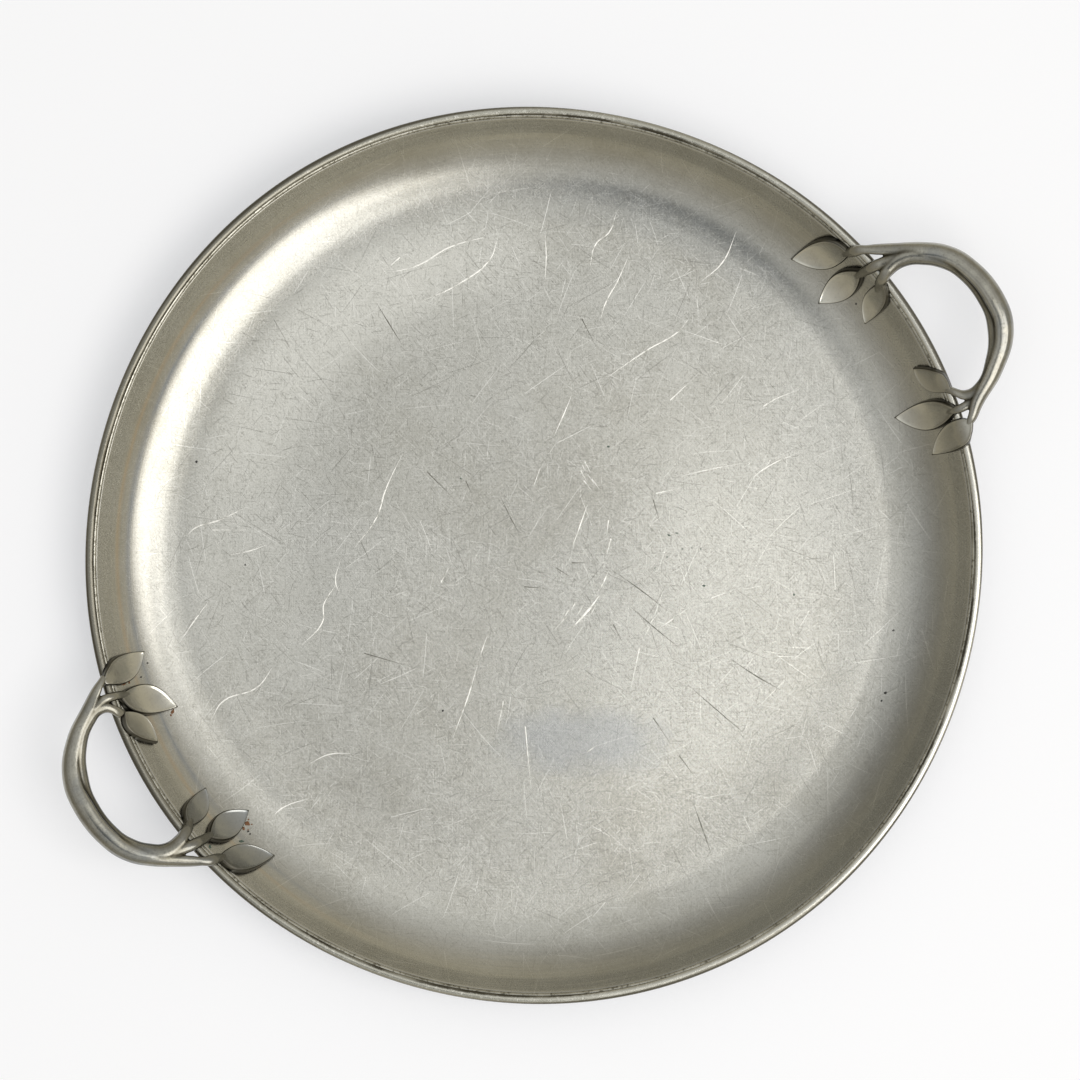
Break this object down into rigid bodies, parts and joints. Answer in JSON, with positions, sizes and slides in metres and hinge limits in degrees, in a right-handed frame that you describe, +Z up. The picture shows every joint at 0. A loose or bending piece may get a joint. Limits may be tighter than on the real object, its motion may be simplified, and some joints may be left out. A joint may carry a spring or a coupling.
{
  "type": "serving tray",
  "caption": "Round shallow pewter serving tray with a wired rim and cast branch-and-leaf loop handles.",
  "frame": {"origin": "centre of the flat underside, on the dish's axis", "axes": "+X through the handles, from the shorter loop to the longer one; +Z up out of the dish; +Y across"},
  "size_m": [0.3893, 0.33, 0.0292],
  "materials": {
    "sheet_pewter": "satin, finely scratched",
    "wire_pewter": "satin, worn bright on the crest",
    "cast_pewter": "satin, dark patina in the hollows",
    "solder": "dull"
  },
  "bodies": {
    "root": {"dish": "sheet_pewter", "rim_wire": "wire_pewter", "rim_solder": "solder", "handle_right": "cast_pewter", "handle_left": "cast_pewter", "solder_right_1": "solder", "solder_right_2": "solder", "solder_right_3": "solder", "solder_right_4": "solder", "solder_right_5": "solder", "solder_right_6": "solder", "solder_left_1": "solder", "solder_left_2": "solder", "solder_left_3": "solder", "solder_left_4": "solder", "solder_left_5": "solder", "solder_left_6": "solder"}
  },
  "joints": []
}
